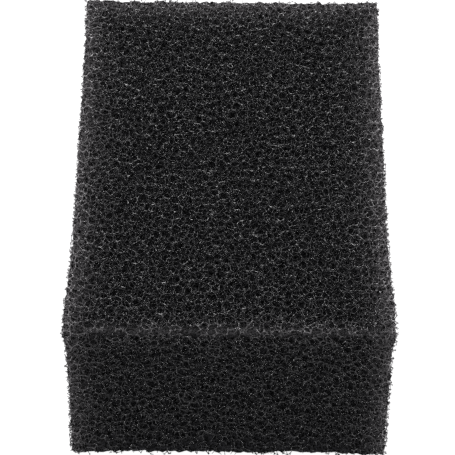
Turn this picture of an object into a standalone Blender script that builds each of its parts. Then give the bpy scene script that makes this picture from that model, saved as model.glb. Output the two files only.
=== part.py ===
"""A replacement sponge for an aquarium or pond filter: one block of black open-cell foam.

Metres, +Z up. The block lies on Z = 0 with its origin under its middle. Its width runs along X,
its length along Y and its height along Z.

Foam gives way under the blade that cuts it and springs back afterwards, so each of the four sides
comes out slightly hollow. A side is flat over its middle and flares out to the corners and the rims.
"""

import bpy
import bmesh

# Outer size, over the corners, where the cut foam stands furthest out.
BLOCK_WIDTH = 0.100
BLOCK_LENGTH = 0.150
BLOCK_HEIGHT = 0.060

# The hollow of a cut side.
RIM_HOLLOW = 0.0006  # depth of the hollow at the top and bottom rims
WAIST_HOLLOW = 0.0005  # further depth halfway up
FLAT_LENGTH_SHARE = 0.72  # share of a side's length that is flat, about its middle
FLAT_HEIGHT_SHARE = 0.50  # share of the block's height that is flat, about its middle
FLARE_STEPS = 5  # facets from the flat part out to a corner or a rim

FOAM_COLOR = (0.013, 0.013, 0.014, 1.0)
FOAM_ROUGHNESS = 0.62


def clear_scene():
    for old in list(bpy.data.objects):
        bpy.data.objects.remove(old, do_unlink=True)


def foam_material():
    material = bpy.data.materials.new("black_foam")
    material.use_nodes = True
    shader = material.node_tree.nodes["Principled BSDF"]
    shader.inputs["Base Color"].default_value = FOAM_COLOR
    shader.inputs["Roughness"].default_value = FOAM_ROUGHNESS
    shader.inputs["Metallic"].default_value = 0.0
    return material


def hollow_left(share, flat_share):
    """How much of the hollow is left at this share of the way from a side's middle to its end."""
    t = min(max((share - flat_share) / (1.0 - flat_share), 0.0), 1.0)
    return 1.0 - t * t * (3.0 - 2.0 * t)


def hollow_depth(along, up):
    """Depth of a side's hollow, at shares from 0 in its middle to 1 at its corner and its rim."""
    depth = RIM_HOLLOW + WAIST_HOLLOW * hollow_left(up, FLAT_HEIGHT_SHARE)
    return depth * hollow_left(along, FLAT_LENGTH_SHARE)


def facet_lines(half, flat_share):
    """Where the flared part's facets meet, on both sides of the middle."""
    lines = []
    for step in range(FLARE_STEPS):
        share = flat_share + (1.0 - flat_share) * step / FLARE_STEPS
        lines += [-half * share, half * share]
    return lines


def cut_at(mesh, axis, places):
    """Cuts the mesh's faces with a plane across the axis at each place."""
    for place in places:
        point = [0.0, 0.0, 0.0]
        normal = [0.0, 0.0, 0.0]
        point[axis] = place
        normal[axis] = 1.0
        parts = mesh.verts[:] + mesh.edges[:] + mesh.faces[:]
        bmesh.ops.bisect_plane(mesh, geom=parts, plane_co=point, plane_no=normal, dist=1e-7)


def make_foam_block():
    half = (BLOCK_WIDTH / 2, BLOCK_LENGTH / 2, BLOCK_HEIGHT / 2)
    mesh = bmesh.new()
    bmesh.ops.create_cube(mesh, size=2.0)
    bmesh.ops.scale(mesh, vec=half, verts=mesh.verts)
    cut_at(mesh, 0, facet_lines(half[0], FLAT_LENGTH_SHARE))
    cut_at(mesh, 1, facet_lines(half[1], FLAT_LENGTH_SHARE))
    cut_at(mesh, 2, facet_lines(half[2], FLAT_HEIGHT_SHARE))
    for vert in mesh.verts:
        share = [abs(vert.co[axis]) / half[axis] for axis in range(3)]
        place = vert.co.copy()
        for axis, along in ((0, 1), (1, 0)):
            if share[axis] > 0.9999:
                inward = -1.0 if place[axis] > 0 else 1.0
                vert.co[axis] += inward * hollow_depth(share[along], share[2])
    data = bpy.data.meshes.new("foam_block")
    mesh.to_mesh(data)
    mesh.free()
    data.materials.append(foam_material())
    block = bpy.data.objects.new("foam_block", data)
    block.location = (0.0, 0.0, BLOCK_HEIGHT / 2)
    bpy.context.scene.collection.objects.link(block)
    return block


clear_scene()
make_foam_block()
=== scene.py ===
"""The looks of a black filter sponge: an open-cell foam, built strut by strut around the CAD block.

A block of filter foam is a skeleton. Its cells are the Voronoi cells of evenly scattered centres.
Three cells meet along each strut, four struts meet at each node, and two cells share each open
window. The script scatters the centres, finds those nodes and struts, cuts them off at the block's
surface and gives each strut a three-sided, waisted shape. Deeper in, where hardly any light
reaches, one closed body, the core, stands in for the rest of them. Everything is in metres.
"""

import itertools
import math

import bpy
import numpy as np
from mathutils import Matrix, Vector, kdtree


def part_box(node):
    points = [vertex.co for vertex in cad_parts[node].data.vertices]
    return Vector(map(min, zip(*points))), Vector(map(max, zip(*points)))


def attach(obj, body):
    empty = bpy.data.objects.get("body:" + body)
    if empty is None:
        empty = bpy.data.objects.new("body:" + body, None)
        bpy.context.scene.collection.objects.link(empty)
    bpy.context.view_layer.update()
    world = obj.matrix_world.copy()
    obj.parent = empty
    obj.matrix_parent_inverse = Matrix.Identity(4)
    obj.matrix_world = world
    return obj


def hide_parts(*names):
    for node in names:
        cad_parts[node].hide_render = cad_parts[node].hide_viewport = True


# --- driving sizes -------------------------------------------------------------------------------

CELL_SPACING = 0.0030  # from one cell's centre to the next
CENTRE_SCATTER = 0.40  # how far a centre strays from an even packing, as a share of the spacing
NODE_RADIUS = 0.00026  # from a node's middle to the edge of the web in each window
STRUT_RADIUS = 0.00014  # the same for a strut, halfway along it
WAIST_POWER = 2.5  # how quickly a strut narrows away from its nodes
RADIUS_SPREAD = 0.18  # the standard deviation of a node's radius, as a share of it

# The core fills the block under its cut surface, and is dished on each face between the edges.
CORE_COVER = 0.0007  # how deep it lies along the block's edges
CORE_COVER_RANGE = (0.4, 1.6)  # the least depth of its points under the cut faces, as shares of that
CORE_DEPTH = 0.0060  # how deep it lies in the middle of a face
CORE_SLOPE = 0.55  # how steeply it goes down from one to the other
CORE_GRID = 0.0010  # between its points
CORE_STRAY = 0.00028  # the standard deviation of how far a point is moved
CORE_OVERLAP = 0.0006  # how far in it there are still nodes
CORE_STRUT_SHARE = 0.5  # how much of its length a strut has that runs on from there

SPREAD_LIMIT = 2  # where those two random spreads are cut off, in standard deviations

# Along its upper and upright edges the foam's colour is lighter: painted light, standing in for the light
# that comes through it there. These are how far that reaches, and how much of it the upright edges and
# the upper front one have.
PAINTED_RIM_LIGHT_FADE = 0.0035
UPRIGHT_PAINTED_RIM_LIGHT = 0.65
FRONT_PAINTED_RIM_LIGHT = 0.30

# The hollow of a cut side, as in the CAD block: how deep it is at the rims, how much deeper halfway
# up, and the shares of the half length and the half height over which it stays so.
RIM_HOLLOW = 0.0006
WAIST_HOLLOW = 0.0005
FLAT_LENGTH_SHARE = 0.72
FLAT_HEIGHT_SHARE = 0.50

# The two upper front corners stand out a little at the sides. The shares are of the half length and
# the half height, where that starts and where it is complete.
CORNER_FLARE = 0.0010
CORNER_LENGTH_SHARES = (0.45, 0.90)
CORNER_HEIGHT_SHARES = (0.60, 1.00)

# Colours, and how their flecks and the gloss vary.
STRUT_COLOUR = (0.0170, 0.0170, 0.0187)
# Painted light: the struts' colour near the edges, standing in for the light that comes through the foam.
STRUT_PAINTED_RIM_LIGHT = (0.260, 0.247, 0.257)
STRUT_SPECKLE = (0.50, 1.50)
STRUT_FLECK = 0.0015
STRUT_ROUGHNESS = (0.12, 0.30)
STRUT_GLOSS_PATCH = 0.0030
# Painted shade: the core's near-black colour stands in for the shade in the deep pores, its flecks are
# painted glints of the struts further in, and its colour near the edges is painted light.
CORE_PAINTED_SHADE = (0.0080, 0.0080, 0.0090)
CORE_PAINTED_RIM_LIGHT = (0.075, 0.071, 0.074)
CORE_PAINTED_GLINTS = (0.0, 2.0)
CORE_PAINTED_GLINT_NOISE = (0.40, 0.60)  # the noise at which the speckle is least and most
CORE_PAINTED_GLINT_GRAIN = 0.0006
CORE_ROUGHNESS = (0.50, 0.75)
CORE_GLOSS_PATCH = 0.0020
CORE_SPECULAR = 0.05
FLOOR_COLOUR = (0.25, 0.25, 0.25)
FLOOR_ROUGHNESS = 0.8
FLOOR_GLOW = 0.90

SEED = 20


# --- the frame -----------------------------------------------------------------------------------

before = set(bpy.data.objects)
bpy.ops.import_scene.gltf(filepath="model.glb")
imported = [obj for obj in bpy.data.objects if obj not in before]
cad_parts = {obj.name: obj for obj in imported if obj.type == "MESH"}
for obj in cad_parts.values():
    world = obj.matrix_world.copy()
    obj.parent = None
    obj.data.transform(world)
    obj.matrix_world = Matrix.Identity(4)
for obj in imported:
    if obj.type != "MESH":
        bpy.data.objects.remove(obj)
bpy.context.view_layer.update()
LOW, HIGH = (np.array(corner, float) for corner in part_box("foam_block"))
MIDDLE = (LOW + HIGH) / 2
HALF = (HIGH - LOW) / 2
rng = np.random.default_rng(SEED)


# --- the cut surface -----------------------------------------------------------------------------

def eased(value, start, stop):
    """0 up to start and 1 from stop on, with a smooth rise between."""
    t = np.clip((value - start) / (stop - start), 0.0, 1.0)
    return t * t * (3.0 - 2.0 * t)


def hollow_left(share, flat_share):
    """1 over the flat share of a side, and down to 0 at its end."""
    return 1.0 - eased(share, flat_share, 1.0)


def corner_flare(points):
    """How far the left or right side stands out beside each point."""
    share = (points - MIDDLE) / HALF
    forward = eased(-share[:, 1], *CORNER_LENGTH_SHARES)
    upward = eased(share[:, 2], *CORNER_HEIGHT_SHARES)
    return CORNER_FLARE * forward * upward


def side_hollows(points):
    """How far the left or right side, and the front or back end, is drawn in beside each point."""
    share = np.abs(points - MIDDLE) / HALF
    waist = RIM_HOLLOW + WAIST_HOLLOW * hollow_left(share[:, 2], FLAT_HEIGHT_SHARE)
    sides = waist * hollow_left(share[:, 1], FLAT_LENGTH_SHARE) - corner_flare(points)
    ends = waist * hollow_left(share[:, 0], FLAT_LENGTH_SHARE)
    return np.stack([sides, ends, np.zeros(len(points))], axis=1)


def face_depths(points):
    """How deep each point is under the nearer cut face across x, y and z. Outside it is negative."""
    return HALF - side_hollows(points) - np.abs(points - MIDDLE)


def depth_in_block(points):
    return face_depths(points).min(axis=1)


def core_depth(second):
    """How deep the core lies under a face, at that distance from the next nearest face."""
    return np.minimum(CORE_COVER + CORE_SLOPE * np.maximum(second - CORE_COVER, 0.0), CORE_DEPTH)


def depth_in_core(points):
    depths = np.sort(face_depths(points), axis=1)
    return depths[:, 0] - core_depth(depths[:, 1])


def fading(distance):
    return np.exp(-np.maximum(distance, 0.0) / PAINTED_RIM_LIGHT_FADE)


def painted_rim_light_share(points):
    """How much of the painted light along the edges each point has. Its distance from an edge is the
    greater of its depths under the edge's two faces."""
    side, end = face_depths(points).T[:2]
    below = HIGH[2] - points[:, 2]
    end_share = np.where(points[:, 1] < MIDDLE[1], FRONT_PAINTED_RIM_LIGHT, 1.0)
    upright = UPRIGHT_PAINTED_RIM_LIGHT * fading(np.maximum(side, end))
    beside = fading(np.maximum(side, below))
    across = end_share * fading(np.maximum(end, below))
    return np.max([upright, beside, across], axis=0)


# --- the cells, and the nodes and struts between them --------------------------------------------

PACKING_TURN = 0.62
PACKING_AXIS = (0.31, 0.52, 0.80)
SPARE_CUBES = 3  # how far the packing goes on past the block's corners
SCATTER_MARGIN = 2.5  # how far past the block's box centres are scattered, in spacings
BUILT_MARGIN = 1.9  # how far past the built foam there are centres, in spacings
SORT_LINE = np.array([0.90, 0.37, 0.20])  # the direction in which the centres are put in order

NEAREST_CENTRES = 34  # how many of the nearest centres can share a node with one
LATER_CENTRES = 21  # the same among the centres that come later in the list
CHUNK = 200  # how many centres are worked on together
NODE_REACH = 1.3 * CELL_SPACING  # farther than that from its centres there is no node
LEAST_SIZE = 1e-5 * CELL_SPACING**3  # with a smaller triple product, directions count as in one plane
ROUNDING = 1e-9  # a length below which differences mean nothing

EVENING_ROUNDS = 3
EVENING_PULL = 0.3
CUT_HALVINGS = 12


def cell_centres():
    """Centres scattered about a body-centred packing, which is turned so that no face shows its rows."""
    # The packing is of cubes with centres at their corners and their middle, half a diagonal apart.
    cube = CELL_SPACING * 2.0 / math.sqrt(3.0)
    reach = np.linalg.norm(HALF) + SPARE_CUBES * cube
    steps = np.arange(-math.ceil(reach / cube), math.ceil(reach / cube) + 1) * cube
    x, y, z = np.meshgrid(steps, steps, steps, indexing="ij")
    corners = np.stack([x.ravel(), y.ravel(), z.ravel()], axis=1)
    points = np.concatenate([corners, corners + cube / 2])
    turn = np.array(Matrix.Rotation(PACKING_TURN, 3, Vector(PACKING_AXIS).normalized()))
    points = points @ turn.T + MIDDLE
    points = points[np.all(np.abs(points - MIDDLE) < HALF + SCATTER_MARGIN * CELL_SPACING, axis=1)]
    points += rng.uniform(-1.0, 1.0, points.shape) * CENTRE_SCATTER * CELL_SPACING
    depth = depth_in_block(points)
    deepest = CORE_DEPTH + CORE_OVERLAP + BUILT_MARGIN * CELL_SPACING
    return points[(depth > -BUILT_MARGIN * CELL_SPACING) & (depth < deepest)]


def neighbours_of(points, count):
    """The nearest other points of each point."""
    tree = kdtree.KDTree(len(points))
    for index, point in enumerate(points):
        tree.insert(point, index)
    tree.balance()
    found = [[hit[1] for hit in tree.find_n(point, count + 1)[1:]] for point in points]
    return np.array(found)


def meeting_places(toward, triples):
    """Where the planes halfway to three neighbours meet, measured from the centre between them.

    Each row of toward has one centre's directions to its neighbours. Beside the places come their
    rows and the three neighbours' columns.
    """
    level = 0.5 * (toward**2).sum(-1)
    a, b, c = triples.T
    ab = np.cross(toward[:, a], toward[:, b])
    size = (ab * toward[:, c]).sum(-1)
    row, triple = np.nonzero(np.abs(size) > LEAST_SIZE)
    a, b, c = triples[triple].T
    bc = np.cross(toward[row, b], toward[row, c])
    ca = np.cross(toward[row, c], toward[row, a])
    place = level[row, c, None] * ab[row, triple]
    place += level[row, a, None] * bc + level[row, b, None] * ca
    place /= size[row, triple, None]
    return place, row, triples[triple]


def voronoi_nodes(points, near):
    """The places that are as far from four centres as from any, and those four centres' numbers.

    Each is found once, from the lowest-numbered of its centres. The points are sorted along a line, so
    that only about half of a point's neighbours come later.
    """
    count = len(points)
    later = np.where(near > np.arange(count)[:, None], near, -1)
    order = np.argsort(later < 0, axis=1, kind="stable")[:, :LATER_CENTRES]
    later = np.take_along_axis(later, order, axis=1)
    triples = np.array(list(itertools.combinations(range(LATER_CENTRES), 3)))
    places, owners = [], []
    for start in range(0, count, CHUNK):
        rows = np.arange(start, min(start + CHUNK, count))
        own = points[rows]
        ahead = later[rows]
        toward = points[ahead] - own[:, None]
        toward[ahead < 0] = 0.0
        place, row, columns = meeting_places(toward, triples)
        close = (place**2).sum(-1) < NODE_REACH**2
        place, row, columns = place[close], row[close], columns[close]
        # A meeting place is a node where no other centre is nearer than those four.
        around = points[near[rows]] - own[:, None]
        halfway = 0.5 * (around**2).sum(-1)
        past = np.einsum("nkx,nx->nk", around[row], place) - halfway[row]
        empty = past.max(axis=1) < ROUNDING * CELL_SPACING
        place, row, columns = place[empty], row[empty], columns[empty]
        places.append(place + own[row])
        owners.append(np.column_stack([rows[row], ahead[row[:, None], columns]]))
    return np.concatenate(places), np.sort(np.concatenate(owners), axis=1)


# A node has four owners, four struts and six windows. A strut leaves out one of the owners, and is
# numbered after it. A window has two.
STRUT_OWNERS = np.array([(1, 2, 3), (0, 2, 3), (0, 1, 3), (0, 1, 2)])
WINDOW_OWNERS = np.array(list(itertools.combinations(range(4), 2)))
NODE_STRUTS = len(STRUT_OWNERS)
NODE_WINDOWS = len(WINDOW_OWNERS)
WINDOW_NUMBER = {tuple(pair): number for number, pair in enumerate(WINDOW_OWNERS.tolist())}
# The windows beside each strut, in the order of its owners, and the windows of each owning cell.
STRUT_WINDOWS = np.array(
    [[WINDOW_NUMBER[pair] for pair in itertools.combinations(three, 2)] for three in STRUT_OWNERS.tolist()]
)
CELL_WINDOWS = np.array(
    [[number for number, pair in enumerate(WINDOW_OWNERS.tolist()) if cell in pair] for cell in range(4)]
)


def struts_between(owners, count):
    """For each node, the nodes at the far ends of its four struts, or -1, and the strut list itself.

    A strut is (node, its number there, far node, its number there), once, from its earlier node.
    """
    threes = owners[:, STRUT_OWNERS].astype(np.int64)
    keys = (threes[..., 0] * count + threes[..., 1]) * count + threes[..., 2]
    keys = keys.ravel()
    order = np.argsort(keys, kind="stable")
    ranked = keys[order]
    starts = np.nonzero(np.r_[True, ranked[1:] != ranked[:-1]])[0]
    sizes = np.diff(np.r_[starts, len(ranked)])
    pair = starts[sizes == 2]
    first, second = order[pair], order[pair + 1]
    node, slot = np.divmod(first, NODE_STRUTS)
    other, other_slot = np.divmod(second, NODE_STRUTS)
    far = np.full(len(keys), -1)
    far[first] = other
    far[second] = node
    return far.reshape(-1, NODE_STRUTS), np.stack([node, slot, other, other_slot], axis=1)


def evened(places, far):
    """Draws each node towards the middle of its four neighbours, as the film's tension does in a foam."""
    whole = (far >= 0).all(axis=1)
    for _ in range(EVENING_ROUNDS):
        middle = places[far[whole]].mean(axis=1)
        places = places.copy()
        places[whole] += EVENING_PULL * (middle - places[whole])
    return places


class Skeleton:
    """The whole foam: its nodes, windows and struts, and which of its nodes are built."""

    def __init__(self):
        points = cell_centres()
        points = points[np.argsort(points @ SORT_LINE)]
        near = neighbours_of(points, NEAREST_CENTRES)
        places, owners = voronoi_nodes(points, near)
        far, self.struts = struts_between(owners, len(points))
        self.places = evened(places, far)
        self.depth = depth_in_block(self.places)
        self.kept = (self.depth > 0.0) & (depth_in_core(self.places) < CORE_OVERLAP)
        self.find_windows(owners, len(points))
        toward = self.window_middle[self.window] - self.places[:, None]
        toward /= np.maximum(np.linalg.norm(toward, axis=2, keepdims=True), ROUNDING)
        spread = rng.standard_normal(len(places)).clip(-SPREAD_LIMIT, SPREAD_LIMIT)
        radius = NODE_RADIUS * (1 + RADIUS_SPREAD * spread)
        self.reach = toward * radius[:, None, None]
        self.to_owner = points[owners] - self.places[:, None]

    def find_windows(self, owners, count):
        """Numbers the windows, and finds the middle of each from the nodes around it."""
        pairs = owners[:, WINDOW_OWNERS].astype(np.int64)
        keys = pairs[..., 0] * count + pairs[..., 1]
        _, window = np.unique(keys.ravel(), return_inverse=True)
        window = window.ravel()
        node = np.repeat(np.arange(len(self.places)), NODE_WINDOWS)
        total = np.bincount(window)
        sums = [np.bincount(window, self.places[node, axis]) for axis in range(3)]
        self.window = window.reshape(-1, NODE_WINDOWS)
        self.window_middle = np.stack(sums, axis=1) / total[:, None]


# --- the skeleton's mesh -------------------------------------------------------------------------

def cut_share(start, end):
    """How far along each line from start to end the block's surface lies."""
    low, high = np.zeros(len(start)), np.ones(len(start))
    for _ in range(CUT_HALVINGS):
        half = (low + high) / 2
        inside = depth_in_block(start + half[:, None] * (end - start)) > 0.0
        low = np.where(inside, half, low)
        high = np.where(inside, high, half)
    return low


def struts_made_with(foam, local):
    """The struts that are made with a piece, which are those whose first kept node it holds."""
    struts = foam.struts
    swapped = ~foam.kept[struts[:, 0]] & foam.kept[struts[:, 2]]
    struts = np.where(swapped[:, None], struts[:, [2, 3, 0, 1]], struts)
    struts = struts[foam.kept[struts[:, 0]]]
    return struts[local[struts[:, 0]] >= 0]


def made_share(foam, struts):
    """How much of each strut is made: all of it, up to the block's surface, or a part inside the core."""
    node, other = struts[:, 0], struts[:, 2]
    leaves = ~foam.kept[other] & (foam.depth[other] <= 0.0)
    share = np.where(foam.kept[other], 1.0, CORE_STRUT_SHARE)
    share[leaves] = cut_share(foam.places[node[leaves]], foam.places[other[leaves]])
    return share


def strut_rings(foam, struts, share):
    """The three corners around each strut, at that share of the way along it."""
    node, slot, other, other_slot = struts.T
    start, end = foam.places[node, None], foam.places[other, None]
    near_reach = foam.reach[node[:, None], STRUT_WINDOWS[slot]]
    far_reach = foam.reach[other[:, None], STRUT_WINDOWS[other_slot]]
    along = share[:, None, None]
    reach = (1 - along) * near_reach + along * far_reach
    waist = STRUT_RADIUS / NODE_RADIUS
    width = waist + (1 - waist) * np.abs(2 * along - 1) ** WAIST_POWER
    return start + along * (end - start) + reach * width


def facing(ring, direction):
    """1 where a ring of three corners turns left about the direction, and -1 where it turns right."""
    normal = np.cross(ring[:, 1] - ring[:, 0], ring[:, 2] - ring[:, 0])
    return np.where((normal * direction).sum(axis=1) > 0, 1, -1)


def turned(ring_index, sign):
    """The rings' indices, with those that turn right reversed."""
    return np.where(sign[:, None] > 0, ring_index, ring_index[:, [0, 2, 1]])


def tube_faces(near_ring, far_ring):
    """The six triangles between two rings of three, each row one tube."""
    faces = []
    for corner in range(3):
        after = (corner + 1) % 3
        faces.append(np.stack([near_ring[:, corner], near_ring[:, after], far_ring[:, after]], 1))
        faces.append(np.stack([near_ring[:, corner], far_ring[:, after], far_ring[:, corner]], 1))
    return np.concatenate(faces)


def web_faces(foam, chosen, hubs):
    """Each node's four triangles between its struts, which look into the four cells around it."""
    faces = []
    for cell in range(4):
        ring = CELL_WINDOWS[cell] + NODE_WINDOWS * np.arange(len(chosen))[:, None]
        faces.append(turned(ring, facing(hubs[ring], foam.to_owner[chosen, cell])))
    return faces


def end_faces(foam, chosen, hubs, closed):
    """The triangles across the nodes where a strut isn't made, or is made with another piece."""
    faces = []
    for slot in range(NODE_STRUTS):
        rows = np.nonzero(closed[:, slot])[0]
        ring = STRUT_WINDOWS[slot] + NODE_WINDOWS * rows[:, None]
        faces.append(turned(ring, facing(hubs[ring], -foam.to_owner[chosen[rows], slot])))
    return faces


def skeleton_mesh(foam, chosen):
    """Corners and triangles of the part of the skeleton around the chosen nodes, closed where it ends.

    The corners are six for each node, one to a window, then three at each strut end that meets no node
    of this part, and three at each strut's waist.
    """
    local = np.full(len(foam.places), -1)
    local[chosen] = np.arange(len(chosen))
    struts = struts_made_with(foam, local)
    node, slot, other, other_slot = struts.T
    share = made_share(foam, struts)
    joined = local[other] >= 0
    loose = np.nonzero(~joined)[0]
    hubs = (foam.places[chosen, None] + foam.reach[chosen]).reshape(-1, 3)
    ends = strut_rings(foam, struts[loose], share[loose]).reshape(-1, 3)
    waists = strut_rings(foam, struts, share / 2).reshape(-1, 3)

    near_ring = NODE_WINDOWS * local[node][:, None] + STRUT_WINDOWS[slot]
    waist_ring = len(hubs) + len(ends) + np.arange(len(waists)).reshape(-1, 3)
    far_ring = NODE_WINDOWS * local[other][:, None] + STRUT_WINDOWS[other_slot]
    far_ring[loose] = len(hubs) + np.arange(len(ends)).reshape(-1, 3)
    sign = facing(hubs[near_ring], foam.places[other] - foam.places[node])
    near_ring, waist_ring, far_ring = (turned(ring, sign) for ring in (near_ring, waist_ring, far_ring))

    closed = np.ones((len(chosen), NODE_STRUTS), bool)
    closed[local[node], slot] = False
    closed[local[other[joined]], other_slot[joined]] = False
    faces = web_faces(foam, chosen, hubs)
    faces += [tube_faces(near_ring, waist_ring), tube_faces(waist_ring, far_ring), far_ring[loose]]
    faces += end_faces(foam, chosen, hubs, closed)
    return np.concatenate([hubs, ends, waists]), np.concatenate(faces)


# --- the core's mesh -----------------------------------------------------------------------------

def box_grid(counts):
    """The points of a grid on the six sides of a box, counted along its edges, and its triangles."""
    number = np.full(counts + 1, -1)
    for axis in range(3):
        np.moveaxis(number, axis, 0)[[0, -1]] = 0
    places = np.argwhere(number == 0)
    number[tuple(places.T)] = np.arange(len(places))
    faces = []
    for axis in range(3):
        for side in (0, -1):
            grid = np.moveaxis(number, axis, 0)[side]
            a, b, c, d = grid[:-1, :-1], grid[1:, :-1], grid[1:, 1:], grid[:-1, 1:]
            # Half of the sides are turned over, so that all of them face out.
            if (side == 0) != (axis == 1):
                b, d = d, b
            faces += [np.stack([a, b, c], -1).reshape(-1, 3), np.stack([a, c, d], -1).reshape(-1, 3)]
    return places, np.concatenate(faces)


def core_mesh():
    """A block whose faces are dished between its edges, with its points strewn a little."""
    counts = np.round(2 * HALF / CORE_GRID).astype(int)
    places, faces = box_grid(counts)
    share = 2 * places / counts - 1.0
    inner = HALF - CORE_COVER
    corners = share * inner
    # A face is dished by how far its point is from the nearest of its edges.
    away = np.sort(inner - np.abs(corners), axis=1)
    dish = core_depth(away[:, 1] + CORE_COVER) - CORE_COVER
    inward = -np.where(np.abs(share) == 1.0, np.sign(share), 0.0)
    corners = corners + inward * dish[:, None]
    corners[:, 0] += share[:, 0] * corner_flare(MIDDLE + corners)
    corners += rng.standard_normal(corners.shape).clip(-SPREAD_LIMIT, SPREAD_LIMIT) * CORE_STRAY
    cover = CORE_COVER * rng.uniform(*CORE_COVER_RANGE, corners.shape)
    reach = HALF - side_hollows(MIDDLE + corners) - cover
    return MIDDLE + np.clip(corners, -reach, reach), faces


# --- materials -----------------------------------------------------------------------------------

NOISE_DETAIL = 2.0
NOISE_RANGE = (0.3, 0.7)  # what a noise seldom leaves


def new_material(name):
    material = bpy.data.materials.new(name)
    material.use_nodes = True
    return material, material.node_tree.nodes["Principled BSDF"]


def noise_over(material, grain):
    """A noise from 0 to 1 over the object, with patches about that large."""
    nodes, links = material.node_tree.nodes, material.node_tree.links
    place = nodes.new("ShaderNodeTexCoord")
    noise = nodes.new("ShaderNodeTexNoise")
    noise.inputs["Scale"].default_value = 1.0 / grain
    noise.inputs["Detail"].default_value = NOISE_DETAIL
    links.new(place.outputs["Object"], noise.inputs["Vector"])
    return noise.outputs["Fac"]


def ranged(material, noise, values, noise_range=NOISE_RANGE):
    """The noise, stretched so that its range becomes the range of those values."""
    node = material.node_tree.nodes.new("ShaderNodeMapRange")
    node.inputs["From Min"].default_value, node.inputs["From Max"].default_value = noise_range
    node.inputs["To Min"].default_value, node.inputs["To Max"].default_value = values
    material.node_tree.links.new(noise, node.inputs["Value"])
    return node.outputs["Result"]


def paint_rim_light(material, shader, inner, outer, speckle):
    """Colours the shader from the inner colour to the outer one near the edges, which is painted light,
    flecked by the speckle.
    """
    nodes, links = material.node_tree.nodes, material.node_tree.links
    painted_rim_light = nodes.new("ShaderNodeAttribute")
    painted_rim_light.attribute_name = "painted_rim_light"
    blend = nodes.new("ShaderNodeMix")
    blend.data_type = "RGBA"
    blend.inputs["A"].default_value = (*inner, 1.0)
    blend.inputs["B"].default_value = (*outer, 1.0)
    links.new(painted_rim_light.outputs["Fac"], blend.inputs["Factor"])
    flecked = nodes.new("ShaderNodeVectorMath")
    flecked.operation = "SCALE"
    links.new(blend.outputs["Result"], flecked.inputs["Vector"])
    links.new(speckle, flecked.inputs["Scale"])
    links.new(flecked.outputs["Vector"], shader.inputs["Base Color"])


def strut_material():
    """Black, faintly blue, glossy foam: some struts a little lighter and some a little duller, and lighter
    near the edges with painted light.
    """
    material, shader = new_material("foam_strut")
    speckle = ranged(material, noise_over(material, STRUT_FLECK), STRUT_SPECKLE)
    paint_rim_light(material, shader, STRUT_COLOUR, STRUT_PAINTED_RIM_LIGHT, speckle)
    gloss = ranged(material, noise_over(material, STRUT_GLOSS_PATCH), STRUT_ROUGHNESS)
    material.node_tree.links.new(gloss, shader.inputs["Roughness"])
    return material


def core_material():
    """Painted shade for the depth of the foam: nearly black, with painted glints for the struts further in,
    and painted light near the edges.
    """
    material, shader = new_material("foam_depth_painted_shade")
    speckle = ranged(material, noise_over(material, CORE_PAINTED_GLINT_GRAIN), CORE_PAINTED_GLINTS, CORE_PAINTED_GLINT_NOISE)
    paint_rim_light(material, shader, CORE_PAINTED_SHADE, CORE_PAINTED_RIM_LIGHT, speckle)
    gloss = ranged(material, noise_over(material, CORE_GLOSS_PATCH), CORE_ROUGHNESS)
    material.node_tree.links.new(gloss, shader.inputs["Roughness"])
    shader.inputs["Specular IOR Level"].default_value = CORE_SPECULAR
    return material


def floor_material():
    """A table lit from within, which stays white beside the block."""
    material, shader = new_material("lit_table")
    shader.inputs["Base Color"].default_value = (*FLOOR_COLOUR, 1.0)
    shader.inputs["Roughness"].default_value = FLOOR_ROUGHNESS
    shader.inputs["Emission Color"].default_value = (1.0, 1.0, 1.0, 1.0)
    shader.inputs["Emission Strength"].default_value = FLOOR_GLOW
    return material


# --- objects -------------------------------------------------------------------------------------

def mesh_object(name, corners, faces, material):
    data = bpy.data.meshes.new(name)
    data.vertices.add(len(corners))
    data.vertices.foreach_set("co", corners.astype(np.float32).ravel())
    data.loops.add(3 * len(faces))
    data.loops.foreach_set("vertex_index", faces.astype(np.int32).ravel())
    data.polygons.add(len(faces))
    data.polygons.foreach_set("loop_start", np.arange(0, 3 * len(faces), 3, dtype=np.int32))
    data.update(calc_edges=True)
    data.materials.append(material)
    piece = bpy.data.objects.new(name, data)
    bpy.context.scene.collection.objects.link(piece)
    return piece


def unfolded(corners, faces):
    """Where each triangle's corners lie on the block's skin, laid flat around its top and its underside."""
    places = corners[faces]
    centre = places.mean(axis=1, keepdims=True) - MIDDLE
    upper = centre[..., 2] > 0.0
    drop = np.where(upper, HIGH[2] - places[..., 2], places[..., 2] - LOW[2])
    flat = places[..., :2] - MIDDLE[:2] + np.sign(centre[..., :2]) * drop[..., None]
    # The top's sheet is laid two block lengths further along than the underside's.
    flat[..., 1] += np.where(upper, 4 * HALF[1], 0.0)
    flat = flat.reshape(-1, 2)
    low, high = flat.min(axis=0), flat.max(axis=0)
    return (flat - low) / (high - low)


def add_piece(name, corners, faces, material):
    """A piece of the foam, with its share of the painted light along the edges at each point, and a skin to
    bake on.
    """
    piece = mesh_object(name, corners, faces, material)
    painted_rim_light = piece.data.attributes.new("painted_rim_light", "FLOAT", "POINT")
    painted_rim_light.data.foreach_set("value", painted_rim_light_share(corners).astype(np.float32))
    flat = piece.data.uv_layers.new(name="OFBake")
    flat.uv.foreach_set("vector", unfolded(corners, faces).astype(np.float32).ravel())
    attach(piece, "root")
    return piece


# --- the stage -----------------------------------------------------------------------------------

# The camera looks down at the block from in front. Distances are from the middle of its base.
LOOK_DOWN = math.radians(46.81)
LOOK_SIDE = math.radians(0.03)
LOOK_ROLL = math.radians(-0.54)
CAMERA_DISTANCE = 0.860
AIM_RIGHT = -0.00083
AIM_UP = 0.01786
LENS = 202.2
SENSOR_WIDTH = 36.0

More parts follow.
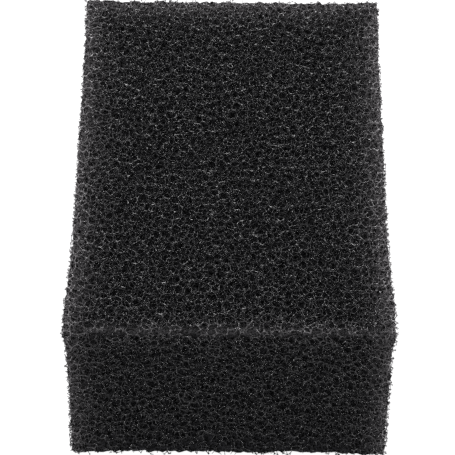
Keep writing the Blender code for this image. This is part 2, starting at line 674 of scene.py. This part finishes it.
# Low lights all round pick out the outermost struts, and a wide one above reaches into the pores.
# Each has its name, place, width and power in watts.
LIGHTS = (
    ("left_softbox", (-0.9, 0.15, 0.5), 0.5, 4.3),
    ("right_softbox", (0.9, 0.15, 0.5), 0.5, 3.6),
    ("back_softbox", (0.0, 1.0, 0.3), 0.6, 13.5),
    ("front_light", (-0.3, -0.8, 0.5), 0.15, 3.8),
    ("overhead_softbox", (0.0, 0.0, 1.5), 1.5, 12.0),
)
WORLD_LIGHT = 0.20
FLOOR_Z = -0.0003
FLOOR_REACH = 3.0


def make_camera():
    level = math.cos(LOOK_DOWN)
    forward = Vector((level * math.sin(LOOK_SIDE), level * math.cos(LOOK_SIDE), -math.sin(LOOK_DOWN)))
    right = forward.cross(Vector((0, 0, 1))).normalized()
    up = right.cross(forward)
    place = -forward * CAMERA_DISTANCE + up * AIM_UP + right * AIM_RIGHT
    rolled_right = math.cos(LOOK_ROLL) * right - math.sin(LOOK_ROLL) * up
    rolled_up = math.sin(LOOK_ROLL) * right + math.cos(LOOK_ROLL) * up
    data = bpy.data.cameras.new("camera")
    data.lens = LENS
    data.sensor_width = SENSOR_WIDTH
    camera = bpy.data.objects.new("camera", data)
    turn = Matrix((rolled_right, rolled_up, -forward)).transposed()
    camera.matrix_world = Matrix.Translation(place) @ turn.to_4x4()
    bpy.context.scene.collection.objects.link(camera)
    bpy.context.scene.camera = camera


def make_area(name, place, size, power):
    """A square soft light at that place, aimed at the block's base."""
    data = bpy.data.lights.new(name, "AREA")
    data.shape = "SQUARE"
    data.size = size
    data.energy = power
    light = bpy.data.objects.new(name, data)
    turn = (-Vector(place)).to_track_quat("-Z", "Y").to_matrix().to_4x4()
    light.matrix_world = Matrix.Translation(place) @ turn
    bpy.context.scene.collection.objects.link(light)


def make_stage():
    world = bpy.data.worlds.new("studio")
    world.use_nodes = True
    world.node_tree.nodes["Background"].inputs["Color"].default_value = (1.0, 1.0, 1.0, 1.0)
    world.node_tree.nodes["Background"].inputs["Strength"].default_value = WORLD_LIGHT
    bpy.context.scene.world = world
    ends = (-FLOOR_REACH, FLOOR_REACH)
    floor_corners = np.array([(x, y, FLOOR_Z) for y in ends for x in ends])
    floor = mesh_object("floor", floor_corners, np.array([(0, 1, 3), (0, 3, 2)]), floor_material())
    for name, place, size, power in LIGHTS:
        make_area(name, place, size, power)
    scene = bpy.context.scene
    scene.view_settings.view_transform = "Standard"
    scene.cycles.use_denoising = False


# --- the pieces ----------------------------------------------------------------------------------

LAYERS = ("lower", "upper")
ROWS = ("front", "front_middle", "back_middle", "back")
COLUMNS = ("left", "middle", "right")


def slab_of(places, axis, count):
    """Which of that many equal slabs of the block across the axis each place is in."""
    share = (places[:, axis] - LOW[axis]) / (HIGH[axis] - LOW[axis])
    return np.clip((share * count).astype(int), 0, count - 1)


def make_foam():
    foam = Skeleton()
    material = strut_material()
    column = slab_of(foam.places, 0, len(COLUMNS))
    row = slab_of(foam.places, 1, len(ROWS))
    layer = slab_of(foam.places, 2, len(LAYERS))
    parts = itertools.product(range(len(LAYERS)), range(len(ROWS)), range(len(COLUMNS)))
    for up, along, across in parts:
        chosen = np.nonzero(foam.kept & (layer == up) & (row == along) & (column == across))[0]
        corners, faces = skeleton_mesh(foam, chosen)
        piece = add_piece(f"foam_{LAYERS[up]}_{ROWS[along]}_{COLUMNS[across]}", corners, faces, material)
        piece.data.polygons.foreach_set("use_smooth", np.ones(len(faces), bool))
    corners, faces = core_mesh()
    core = add_piece("foam_core", corners, faces, core_material())
    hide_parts("foam_block")


make_camera()
make_stage()
make_foam()
